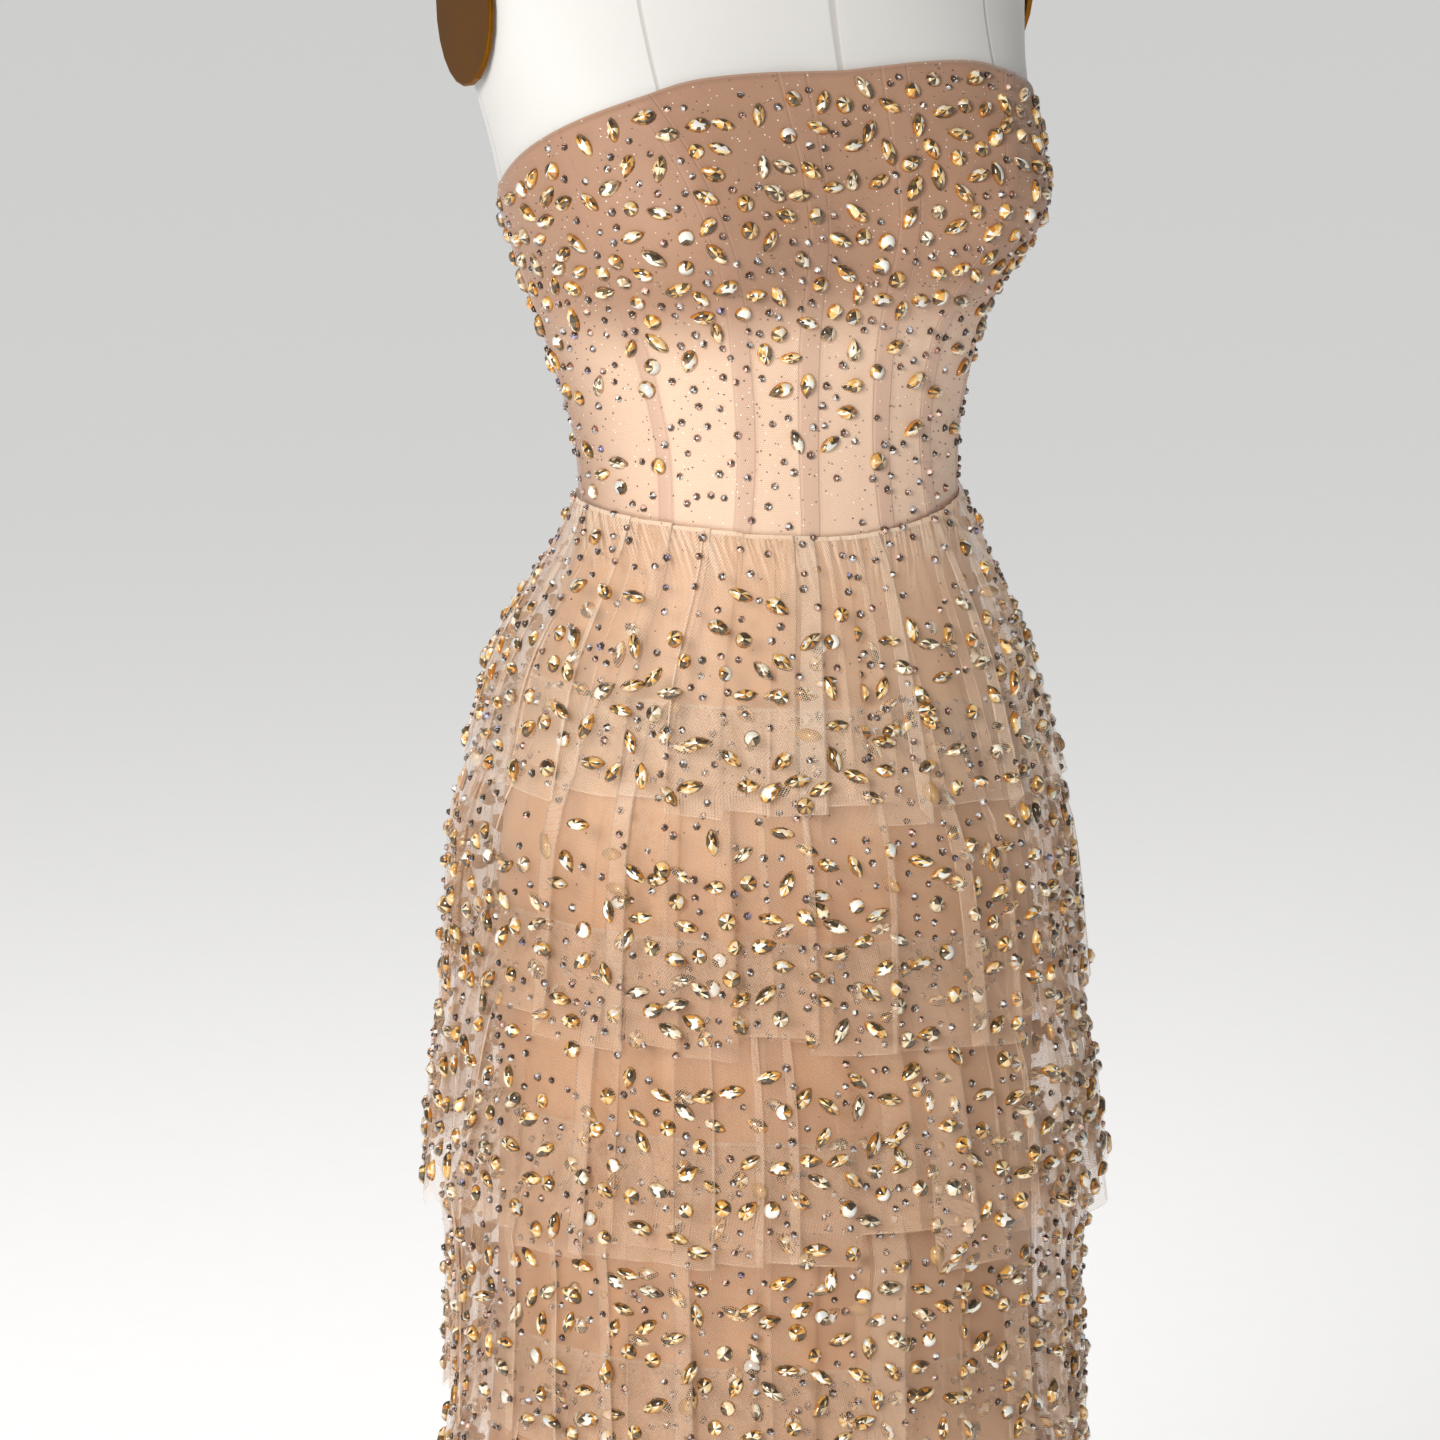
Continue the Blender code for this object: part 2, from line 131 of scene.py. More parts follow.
def cloth_tube(name, points, marks=()):
    """A tube of cloth from rings of points, lowest ring first. marks maps attribute names to grids."""
    rows, columns = points.shape[:2]
    index = np.arange(rows * columns).reshape(rows, columns)
    right = np.roll(index, -1, axis=1)
    quads = np.stack([index[:-1], right[:-1], right[1:], index[1:]], axis=-1).reshape(-1, 4)
    mesh = bpy.data.meshes.new(name)
    mesh.from_pydata(points.reshape(-1, 3).tolist(), [], quads.tolist())
    u, v = flat_measures(points)
    flat = np.stack([u, v], axis=-1)
    corners = np.stack([flat[:-1, :-1], flat[:-1, 1:], flat[1:, 1:], flat[1:, :-1]], axis=2)
    mesh.uv_layers.new(name="flat_cloth")
    mesh.uv_layers["flat_cloth"].data.foreach_set("uv", corners.reshape(-1).astype(np.float32))
    for mark, grid in dict(marks).items():
        values = np.broadcast_to(grid, (rows, columns)).astype(np.float32)
        mesh.attributes.new(mark, "FLOAT", "POINT").data.foreach_set("value", values.reshape(-1))
    mesh.polygons.foreach_set("use_smooth", np.ones(len(mesh.polygons), dtype=bool))
    return placed(name, mesh)


def select_only(piece):
    """An operator acts on all that is selected, so everything else is let go first."""
    bpy.ops.object.select_all(action="DESELECT")
    piece.select_set(True)
    bpy.context.view_layer.objects.active = piece


def give_wall(piece, thickness):
    """Turns a sheet into cloth with a real thickness, grown inwards."""
    select_only(piece)
    wall = piece.modifiers.new("wall", "SOLIDIFY")
    wall.thickness, wall.offset, wall.use_even_offset = thickness, -1.0, True
    bpy.ops.object.modifier_apply(modifier="wall")


def dress(piece, finish, slot, *nodes):
    """Gives a piece its finish and its body, and hides the solids it stands for. slot is not used."""
    piece.data.materials.clear()
    piece.data.materials.append(finish)
    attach(piece, "root")
    if nodes:
        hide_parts(*nodes)


# %% [markdown]
# ## A small kit for finishes
#
# A finish is a tree of nodes that ends in one Principled shader. This helper adds a node, sets its
# choices and links its inputs in one call. What is the same all over, such as sheen, is set straight on
# the shader. What changes from place to place comes from the flat cloth map, the object's own
# coordinates or a named mark.

# %% The finish helper
def shade(red, green, blue):
    """A colour from 0 to 255 a channel as the linear values that a shader needs."""
    share = [c / 255 for c in (red, green, blue)]
    return (*[s / 12.92 if s <= 0.04045 else ((s + 0.055) / 1.055) ** 2.4 for s in share], 1.0)


class Finish:
    """A material whose nodes are added and linked one line at a time."""

    def __init__(self, name, **constant):
        self.material = bpy.data.materials.new(name)
        self.material.use_nodes = True
        self.tree = self.material.node_tree
        self.shader = self.tree.nodes["Principled BSDF"]
        for socket, value in constant.items():
            self.shader.inputs[socket.replace("_", " ")].default_value = value

    def add(self, kind, inputs=(), **choices):
        node = self.tree.nodes.new("ShaderNode" + kind)
        for choice, value in choices.items():
            setattr(node, choice, value)
        for socket, value in dict(inputs).items():
            if isinstance(value, bpy.types.NodeSocket):
                self.tree.links.new(value, node.inputs[socket])
            else:
                node.inputs[socket].default_value = value
        return node

    def math(self, work, first, second=0.0, third=0.0):
        return self.add("Math", {0: first, 1: second, 2: third}, operation=work).outputs[0]

    def times(self, first, second):
        return self.math("MULTIPLY", first, second)

    def flat(self):
        return self.add("UVMap", uv_map="flat_cloth").outputs[0]

    def place(self):
        return self.add("TexCoord").outputs["Object"]

    def mark(self, name):
        return self.add("Attribute", attribute_name=name).outputs["Fac"]

    def stretch(self, vector, scale):
        return self.add("Mapping", {"Vector": vector, "Scale": scale}).outputs[0]

    def noise(self, vector, scale, detail=2.0):
        inputs = {"Vector": vector, "Scale": scale, "Detail": detail}
        return self.add("TexNoise", inputs).outputs["Fac"]

    def streaks(self, across, up, detail):
        """Noise on the flat cloth, with its own size each way."""
        return self.noise(self.stretch(self.flat(), (across, up, 1.0)), 1.0, detail)

    def remap(self, value, low, high, to_low=0.0, to_high=1.0):
        inputs = {"Value": value, "From Min": low, "From Max": high, "To Min": to_low, "To Max": to_high}
        return self.add("MapRange", inputs, interpolation_type="SMOOTHSTEP").outputs[0]

    def near(self, mark, low, high, most=1.0):
        """Falls from most to 0 while a mark rises from low to high."""
        return self.remap(self.mark(mark), low, high, most, 0.0)

    def mix(self, share, first, second):
        inputs = {0: share, 6: first, 7: second}
        return self.add("Mix", inputs, data_type="RGBA").outputs[2]

    def layer(self, ground, share, strength, *colour):
        """Lays a colour over the ground."""
        return self.mix(self.times(share, strength), ground, shade(*colour))

    def set(self, socket, value):
        self.tree.links.new(value, self.shader.inputs[socket])

    def bump(self, height, distance, strength=1.0):
        inputs = {"Height": height, "Distance": distance, "Strength": strength}
        self.set("Normal", self.add("Bump", inputs).outputs[0])


# %% [markdown]
# ## The dress form's cover
#
# The form is a smooth torso in tight off-white linen, seamed at the centre front, the princess lines, the
# sides and the back. Its skin is a loft of ovals, and the breasts are soft swellings of the rings. The
# mesh's columns run along the seams, so each spot knows its distance from one, and the finish draws a
# crisp sewn line.

# %% Sizes of the form and the bodice seams
ARM_FLAT = 0.176
BUST_HEIGHT, BUST_REACH, BUST_SIDE, BUST_SPREAD = 1.234, 0.033, 40.0, 21.0
BUST_ABOVE, BUST_BELOW = 0.055, 0.035
# height, half width, middle from front to back, half depth
FORM_SECTIONS = (
    (0.8, 0.149, 0.002, 0.119),
    (0.86, 0.154, 0.004, 0.123),
    (0.92, 0.148, 0.004, 0.117),
    (0.98, 0.129, 0.002, 0.102),
    (1.02, 0.118, 0.0, 0.0945),
    (1.058, 0.1125, -0.0005, 0.091),
    (1.083, 0.1135, 0.001, 0.089),
    (1.106, 0.1165, 0.002, 0.088),
    (1.136, 0.1245, 0.005, 0.091),
    (1.171, 0.1345, 0.0085, 0.096),
    (1.2, 0.144, 0.012, 0.102),
    (1.235, 0.1545, 0.0145, 0.1075),
    (1.27, 0.1605, 0.019, 0.108),
    (1.3, 0.167, 0.025, 0.107),
    (1.335, 0.176, 0.03, 0.104),
    (1.37, 0.182, 0.035, 0.102),
    (1.4, 0.179, 0.036, 0.096),
    (1.425, 0.162, 0.036, 0.086),
    (1.445, 0.132, 0.035, 0.076),
    (1.46, 0.1, 0.033, 0.068),
    (1.475, 0.076, 0.032, 0.062),
    (1.5, 0.062, 0.029, 0.059),
    (1.545, 0.058, 0.023, 0.056),
)


def form_points(angles, heights, outward=0.0):
    """Points of the form's surface, or of cloth that lies that far out from it."""
    from_front = np.degrees(np.arctan2(np.sin(angles), np.cos(angles)))
    rise = (heights - BUST_HEIGHT) / np.where(heights > BUST_HEIGHT, BUST_ABOVE, BUST_BELOW)
    swell = 0.0
    for side in (-BUST_SIDE, BUST_SIDE):
        swell = swell + BUST_REACH * np.exp(-(((from_front - side) / BUST_SPREAD) ** 2 + rise**2) / 2)
    points = oval_points(smooth_columns(FORM_SECTIONS, heights), angles, heights, outward + swell)
    points[..., 0] = np.clip(points[..., 0], -ARM_FLAT, ARM_FLAT)
    return points


def seam_columns(seams, between, near=()):
    """Angles of all columns round, and each one's angle from the nearest seam.

    seams holds each row's seam angles from the centre back round. near adds columns beside a seam.
    """
    angles, gaps = [], []
    near = [0.0, *near]
    for start, end in zip(seams[:-1], seams[1:]):
        inner = np.linspace(0, 1, between + 2)[1:-1]
        first, last = start + near[-1], end - near[-1]
        middle = [first + (last - first) * share for share in inner]
        panel = [start + step for step in near] + middle + [end - step for step in near[:0:-1]]
        angles += panel
        gaps += [np.minimum(angle - start, end - angle) for angle in panel]
    return np.stack(angles, axis=1), np.stack(gaps, axis=1)


# %% The linen cover
# seam angles from the centre front
FORM_SEAMS = (0.0, 38.0, 98.0, 146.0, 180.0)
# lowest and highest ring of each band of the cover, and its number of rings
COVER_BANDS = ((0.80, 1.30, 36), (1.31, 1.48, 40), (1.485, 1.545, 10))
COVER_COLUMNS = 17
cover_heights = np.concatenate([np.linspace(*band) for band in COVER_BANDS])
half_seams = np.radians(FORM_SEAMS)
seam_rows = [np.full(len(cover_heights), a) for a in (*-half_seams[::-1], *half_seams[1:])]
cover_angles, cover_gaps = seam_columns(seam_rows, COVER_COLUMNS)
cover_points = form_points(cover_angles, cover_heights[:, None])
cover_radius = np.hypot(*np.moveaxis(cover_points[..., :2], -1, 0))
cover = cloth_tube("form_cover", cover_points, {"seam": cover_gaps * cover_radius})
select_only(cover)
bpy.ops.object.mode_set(mode="EDIT")
bpy.ops.mesh.select_non_manifold(extend=False)
bpy.ops.mesh.fill_holes(sides=0)
bpy.ops.object.mode_set(mode="OBJECT")
print("form cover faces:", len(cover.data.polygons))

# %% Its linen
linen = Finish("tight_linen", Roughness=0.82, Sheen_Weight=0.15, Sheen_Roughness=0.5)
threads = linen.stretch(linen.flat(), (1600.0, 1600.0, 1.0))
warp, weft = [
    linen.add("TexWave", {"Vector": threads, "Scale": 0.31}, bands_direction=way).outputs["Fac"]
    for way in "XY"
]
weave = linen.times(warp, weft)
sewn, pulled = linen.near("seam", 0.0003, 0.0014), linen.near("seam", 0.001, 0.010)
mottle = linen.noise(linen.place(), 9.0, 4.0)
ground = linen.mix(mottle, shade(198, 196, 193), shade(208, 207, 204))
ground = linen.layer(ground, weave, 0.12, 186, 182, 175)
linen.set("Base Color", linen.layer(ground, sewn, 0.50, 160, 154, 145))
relief = linen.math("SUBTRACT", linen.times(weave, 0.12), sewn)
linen.bump(linen.math("MULTIPLY_ADD", pulled, 0.25, relief), 0.0006, 0.6)
dress(cover, linen.material, "form_linen", "form_torso")

# %% [markdown]
# ## Bronze plates and the iron stand
#
# Satin bronze plates close the armholes and the neck. The pole and the heavy round base are black
# enamelled iron. Their solids already have the right shape, so they stay, and only their finish is made:
# fine brushing and darker patches on the bronze, and an uneven, worn skin on the enamel.

# %% Bronze and enamel
bronze = Finish("satin_bronze", Metallic=1.0)
brushed = bronze.noise(bronze.stretch(bronze.place(), (40.0, 900.0, 900.0)), 1.0, 3.0)
aged = bronze.noise(bronze.place(), 28.0, 5.0)
tone = bronze.mix(aged, shade(84, 48, 6), shade(142, 90, 22))
bronze.set("Base Color", bronze.layer(tone, brushed, 0.30, 164, 112, 38))
bronze.set("Roughness", bronze.remap(aged, 0.2, 0.8, 0.30, 0.46))
bronze.bump(brushed, 0.00012, 0.5)

enamel = Finish("black_enamel", Coat_Weight=0.4, Coat_Roughness=0.18)
orange_peel = enamel.noise(enamel.place(), 420.0, 2.0)
rubbed = enamel.noise(enamel.place(), 16.0, 6.0)
enamel.set("Base Color", enamel.mix(rubbed, shade(24, 24, 26), shade(52, 50, 49)))
enamel.set("Roughness", enamel.remap(rubbed, 0.3, 0.7, 0.28, 0.5))
enamel.bump(orange_peel, 0.0002, 0.35)

for name in ("arm_plate_left", "arm_plate_right", "neck_plate", "pole", "base"):
    slots = bpy.data.objects["form_" + name].data.materials
    slots.clear()
    slots.append(bronze.material if "plate" in name else enamel.material)
print("plates and stand finished")

# %% [markdown]
# ## The boned bodice
#
# The bodice is eleven panels of nude net over satin. A boning channel about a centimetre wide covers
# each seam and shows as a darker strip. The front panels below the bust are lined in a light cream, and
# the cups in a pinkish tan, which the sides take on too towards the back. The mesh has extra columns
# beside every seam, which raise the channels by a real 0.6 mm.

# %% Bodice sizes
WAIST_HEIGHT, WAIST_DIP, WAIST_DIP_SPREAD = 1.067, 0.0125, 50.0
BODICE_STAND_OFF, BODICE_WALL, BONING_RISE, BONING_HALF_WIDTH = 0.0025, 0.0015, 0.0006, 0.0050
# degrees from the centre front at the waist, halfway up, and at the top edge
BODICE_SEAMS = {
    "centre_front": (12.8, 10.5, 11.0),
    "princess": (33.5, 29.0, 42.0),
    "side_front": (57.5, 55.5, 64.0),
    "side": (100.0, 98.0, 97.0),
    "side_back": (140.0, 140.0, 141.0),
    "centre_back": (180.0, 180.0, 180.0),
}
# degrees from the centre front, height of the top edge
TOP_EDGE = (
    (0, 1.32), (17, 1.3215), (31, 1.319), (41, 1.3115), (54, 1.3),
    (70, 1.283), (100, 1.25), (120, 1.232), (150, 1.208), (180, 1.198),
)


def waist_height(angles):
    """The waist seam dips at the centre front."""
    from_front = np.degrees(np.arctan2(np.sin(angles), np.cos(angles)))
    return WAIST_HEIGHT - WAIST_DIP * np.exp(-((from_front / WAIST_DIP_SPREAD) ** 2))


def top_edge_height(angles):
    from_front = np.degrees(np.abs(np.arctan2(np.sin(angles), np.cos(angles))))
    return smooth_columns(TOP_EDGE, from_front)[..., 0]


# %% The bodice shell
BODICE_ROWS, PANEL_COLUMNS = 56, 8
# angles of the extra columns beside a seam
CHANNEL_COLUMNS = (0.02, 0.036, 0.046)
CUP_LINE, CUP_LINE_WAVE = 1.187, 0.004
rises = np.linspace(0, 1, BODICE_ROWS)
half_seams = []
for waist, middle, top in BODICE_SEAMS.values():
    curve = waist * (1 - rises) * (1 - 2 * rises) + middle * 4 * rises * (1 - rises)
    half_seams.append(np.radians(curve + top * rises * (2 * rises - 1)))
bodice_seams = [-seam for seam in half_seams[::-1]] + half_seams
bodice_angles, seam_gap = seam_columns(bodice_seams, PANEL_COLUMNS, CHANNEL_COLUMNS)
low_edge, high_edge = waist_height(bodice_angles), top_edge_height(bodice_angles)
bodice_heights = low_edge + rises[:, None] * (high_edge - low_edge)
radius = np.hypot(*np.moveaxis(form_points(bodice_angles, bodice_heights)[..., :2], -1, 0))
seam_distance = seam_gap * radius
channel = 1 - soft_step(seam_distance, BONING_HALF_WIDTH * 0.8, BONING_HALF_WIDTH * 1.15)
bodice_points = form_points(bodice_angles, bodice_heights, BODICE_STAND_OFF + BONING_RISE * channel)
from_front = np.degrees(bodice_angles)
past_side_front = np.abs(from_front) - np.degrees(half_seams[2])[:, None]
side_panels = 0.16 * soft_step(past_side_front, -1.5, 0.5) + 0.84 * soft_step(past_side_front, 6.0, 48.0)
cup_line = CUP_LINE + CUP_LINE_WAVE * np.cos(np.radians(3 * from_front))
cups = soft_step(bodice_heights - cup_line, -0.034, 0.016)
below_edge, above_waist = high_edge - bodice_heights, bodice_heights - low_edge
bodice_marks = {"seam": seam_distance, "side_panel": side_panels, "cup": cups, "below_edge": below_edge}
bodice = cloth_tube("bodice_cloth", bodice_points, bodice_marks)
give_wall(bodice, BODICE_WALL)
print("bodice faces:", len(bodice.data.polygons))

# %% [markdown]
# ### Net as a pattern of three waves
#
# Fine net has round holes in a honeycomb of threads. Three plane waves, turned 120 degrees from each
# other, add up to peaks on such a grid: a high sum is a hole, and a low one a thread. Two layers of it
# give the same soft moire as real net.

# %% The net pattern
def net_threads(finish, pitch, turn, thread):
    """1 on the threads of a net with that distance between holes, and 0 in the holes."""
    flat = finish.flat()
    total = None
    for step in range(3):
        angle = math.radians(turn + 120 * step)
        size = 4 * math.pi / (math.sqrt(3) * pitch)
        wave = (size * math.cos(angle), size * math.sin(angle), 0.0)
        along = finish.add("VectorMath", {0: flat, 1: wave}, operation="DOT_PRODUCT").outputs["Value"]
        ripple = finish.math("COSINE", along)
        total = ripple if total is None else finish.math("ADD", total, ripple)
    return finish.remap(total, thread - 0.25, thread + 0.25, 1.0, 0.0)


# %% Bodice cloth
BODICE_NODES = ["bodice_centre_front"]
for panel in ("inner_front", "side_front", "side", "side_back", "back"):
    BODICE_NODES += [f"bodice_{panel}_left", f"bodice_{panel}_right"]

boned = Finish("bodice_net_over_satin", Roughness=0.62, Sheen_Weight=0.25, Sheen_Roughness=0.4)
mesh_threads = net_threads(boned, pitch=0.00125, turn=35.0, thread=-0.2)
drift = boned.noise(boned.place(), 14.0, 4.0)
creases = boned.streaks(24.0, 9.0, 3.0)
cream = boned.mix(drift, shade(225, 193, 167), shade(235, 203, 176))
side_tan = boned.mix(drift, shade(160, 127, 104), shade(174, 140, 115))
cup_tan = boned.mix(drift, shade(156, 119, 94), shade(172, 134, 107))
ground = boned.mix(boned.mark("side_panel"), cream, side_tan)
ground = boned.mix(boned.mark("cup"), ground, cup_tan)
strip_strength = boned.remap(boned.mark("cup"), 0.0, 1.0, 0.38, 0.16)
ground = boned.layer(ground, boned.near("seam", 0.0042, 0.0060), strip_strength, 166, 126, 110)
ground = boned.layer(ground, boned.near("below_edge", 0.0095, 0.0105), 0.22, 160, 120, 98)
ground = boned.layer(ground, boned.near("below_edge", 0.0008, 0.0016), 0.45, 214, 176, 150)
ground = boned.layer(ground, mesh_threads, 0.30, 158, 118, 96)
# glitter flecks, painted near white where they catch the light: painted glints on real flecks
glitter = boned.add("TexVoronoi", {"Vector": boned.flat(), "Scale": 300.0})
some = boned.add("SeparateXYZ", {0: glitter.outputs["Color"]}).outputs[0]
glitter_painted_glint = boned.remap(glitter.outputs["Distance"], 0.09, 0.15, 1.0, 0.0)
ground = boned.layer(ground, glitter_painted_glint, boned.remap(some, 0.55, 0.62), 255, 248, 232)
boned.set("Base Color", ground)
stitches = boned.math("ABSOLUTE", boned.math("SUBTRACT", boned.mark("seam"), 0.0043))
sewn = boned.remap(stitches, 0.0002, 0.0007, 1.0, 0.0)
relief = boned.math("MULTIPLY_ADD", mesh_threads, 0.10, boned.times(creases, 1.1))
boned.bump(boned.math("SUBTRACT", relief, boned.times(sewn, 0.30)), 0.0010, 0.7)
dress(bodice, boned.material, "nude_bodice", *BODICE_NODES)

# %% [markdown]
# ## The skirt's lining
#
# Under the net lies an opaque peach satin lining, fitted to the knee and then flared. Its edge shows
# through the net as a calm shape inside the sheer outline. It hangs almost smooth, in a few long soft
# folds, with a seam at each side.

# %% The lining shell
LINING_WALL, LINING_HEM, LINING_ROWS, LINING_COLUMNS = 0.0012, 0.030, 90, 95
LINING_MEAN_RADIUS, WAIST_SEAM_GAP = 0.16, 0.0002
# height, half width, middle from front to back, half depth
LINING_SECTIONS = (
    (0.03, 0.296, 0.0, 0.292),
    (0.12, 0.269, 0.0, 0.26),
    (0.25, 0.226, 0.0, 0.212),
    (0.38, 0.189, 0.0, 0.17),
    (0.5, 0.169, 0.001, 0.147),
    (0.65, 0.163, 0.002, 0.137),
    (0.8, 0.164, 0.003, 0.135),
    (0.86, 0.161, 0.004, 0.131),
    (0.92, 0.154, 0.004, 0.124),
    (0.98, 0.136, 0.002, 0.109),
    (1.02, 0.123, 0.0, 0.099),
    (1.05, 0.116, -0.0005, 0.0945),
    (1.07, 0.1155, -0.0005, 0.094),
)
lining_seams = [np.full(LINING_ROWS, a) for a in (-math.pi / 2, math.pi / 2, math.pi * 1.5)]
lining_angles, lining_gap = seam_columns(lining_seams, LINING_COLUMNS)
falls = np.linspace(0, 1, LINING_ROWS)[:, None]
lining_top = waist_height(lining_angles) - WAIST_SEAM_GAP
lining_heights = LINING_HEM + falls * (lining_top - LINING_HEM)
soft_folds = 0.0011 * np.sin(9 * lining_angles + 4 * falls) + 0.0009 * np.sin(14 * lining_angles - 3 * falls)
settled = soft_step(1 - falls, 0.05, 0.55)
lining_ovals = smooth_columns(LINING_SECTIONS, lining_heights)
lining_grid = oval_points(lining_ovals, lining_angles, lining_heights, soft_folds * settled)
lining = cloth_tube("skirt_lining", lining_grid, {"seam": lining_gap * LINING_MEAN_RADIUS})
give_wall(lining, LINING_WALL)
print("lining faces:", len(lining.data.polygons))

# %% Its satin
satin = Finish("peach_satin", Roughness=0.48, Sheen_Weight=0.2, Sheen_Roughness=0.35)
fold_relief_and_painted_shade, slubs = satin.streaks(26.0, 2.2, 4.0), satin.streaks(1900.0, 160.0, 2.0)
height = satin.add("SeparateXYZ", {0: satin.place()}).outputs[2]
# below the first flounce the lining is painted darker: painted shade from the layers of net over it
painted_shade_below = satin.remap(height, 0.84, 0.94, 1.0, 0.0)
# the long folds' hollows are painted darker and their crests lighter as painted shade; the same noise raises
# them in the bump
ground = satin.mix(fold_relief_and_painted_shade, shade(206, 157, 116), shade(224, 179, 138))
shaded_low_ground = satin.mix(fold_relief_and_painted_shade, shade(184, 126, 82), shade(206, 150, 103))
ground = satin.layer(satin.mix(painted_shade_below, ground, shaded_low_ground), slubs, 0.16, 190, 140, 100)
ground = satin.layer(ground, satin.near("seam", 0.0004, 0.0014), 0.5, 176, 128, 96)
satin.set("Base Color", ground)
satin.bump(satin.math("MULTIPLY_ADD", slubs, 0.15, fold_relief_and_painted_shade), 0.0012, 0.6)
dress(lining, satin.material, "peach_lining", "skirt_lining_front", "skirt_lining_back")

# %% [markdown]
# ## The net flounces
#
# Each flounce is a strip of fine net, pressed into leaning knife pleats at its top and sewn to the
# lining just above the hem of the flounce over it. Where a pleat folds back there are three layers, so it
# looks paler than the single net beside it, and its fold shows as a thin light line. The mesh makes the
# same overlap: each ring's points swing sideways as they swing in and out, so the cloth doubles back and
# never crosses itself. The holes are a millimetre wide, so the mesh stays uncut and the finish makes them.

# %% Flounce sizes
# ring height, half width, middle from front to back, half depth, depth of the folds
FLOUNCES = (
    (
        (0.903, 0.182, 0.004, 0.1535, 0.004),
        (0.975, 0.161, 0.003, 0.133, 0.003),
        (1.04, 0.1295, -0.0025, 0.107, 0.0014),
    ),
    ((0.77, 0.1965, 0.003, 0.169, 0.0055), (0.868, 0.188, 0.004, 0.161, 0.004)),
    ((0.653, 0.2085, 0.002, 0.181, 0.0055), (0.735, 0.1985, 0.003, 0.173, 0.004)),
    ((0.519, 0.1965, 0.001, 0.174, 0.0055), (0.618, 0.193, 0.002, 0.169, 0.004)),
    ((0.37, 0.224, 0.0, 0.207, 0.006), (0.484, 0.196, 0.001, 0.175, 0.0045)),
    ((0.205, 0.276, 0.0, 0.264, 0.0065), (0.334, 0.224, 0.0, 0.209, 0.0045)),
    ((0.022, 0.33, 0.0, 0.324, 0.007), (0.168, 0.277, 0.0, 0.266, 0.005)),
)
PLEATS = (31, 31, 32, 31, 33, 40, 48)
# least and most of a pleat's width before the widths are scaled to fill the ring, lap, and share of depth
PLEAT_WIDTHS, PLEAT_LAPS, PLEAT_DEPTHS = (0.45, 1.8), (0.06, 0.43), (0.35, 0.8)
# size, number round the skirt and start of waves: sideways at the hem, sideways halfway up, lift of the hem
SWAY = ((0.020, 2, 0), (0.012, 5, 1), (0.009, 9, 6), (0.006, 14, 7))
BOW = ((0.008, 6, 8), (0.005, 11, 9))
RIPPLE = ((0.0014, 11, 4), (0.0010, 17, 5))
# how far the hem of a pleat may hang above or below its flounce's hem height
HEM_STEPS = (0.0070, 0.0110, 0.0140, 0.0110, 0.0090, 0.0080, 0.0045)
# how far above the hem over it a flounce is sewn on, and how far inside that hem it passes
SEAT_OVERLAP, TUCK = 0.055, 0.0055
# how far the first flounce laps the waist seam, and how far every seat stands off the lining
WAIST_LAY, SEAT_OFF = 0.0014, 0.0016
# pleats that double back by more than this show a light line at their folds
MARKED_LAP = 0.21
# how far the under layer lies inside the outer one, and how much shorter it is
LAYERS = {"outer": (0.0, 0.0), "inner": (0.005, 0.010)}
# height, how much lower the hems hang on the wearer's left than in the middle
HEM_TILT = ((0.0, 0.0), (0.25, 0.003), (0.45, 0.010), (0.95, 0.012), (1.05, 0.0))


def pleat_samples(lap, pieces=4):
    """Places along one pleat, with its two fold edges among them, for a pleat that doubles back by lap."""
    fine = np.linspace(0, 1, 801)
    across = fine + lap * np.sin(2 * np.pi * fine)
    outer = min(fine[200:401][np.argmax(across[200:401])], 0.42)
    inner = 1 - outer
    stops = (0.0, outer, inner, 1.0)
    places = [np.linspace(a, b, pieces, endpoint=False) for a, b in zip(stops, stops[1:])]
    return np.concatenate(places), (outer, inner)


def pleat_columns(count, hem_step, seed):
    """Every column of a flounce: its turn before pleating, its pleat's sizes, its place in it and drop."""
    random = np.random.default_rng(seed)
    widths = random.uniform(*PLEAT_WIDTHS, count)
    starts = np.concatenate([[0], np.cumsum(widths)[:-1]]) / widths.sum() * 2 * np.pi - np.pi
    widths = widths / widths.sum() * 2 * np.pi
    laps = random.uniform(*PLEAT_LAPS, count)
    depths = random.uniform(*PLEAT_DEPTHS, count)
    drops = random.uniform(-hem_step, hem_step, count)
    columns = []
    for number, (start, width, lap, depth) in enumerate(zip(starts, widths, laps, depths)):
        places, edges = pleat_samples(lap)
        for place in places:
            drop = drops[number - 1] + (drops[number] - drops[number - 1]) * soft_step(place, *edges)
            columns.append((start + width * place, width, lap, depth, place, drop, *edges))
    return np.array(columns).T


def added_waves(turn, starts, waves):
    return sum(size * np.sin(count * turn + starts[start]) for size, count, start in waves)


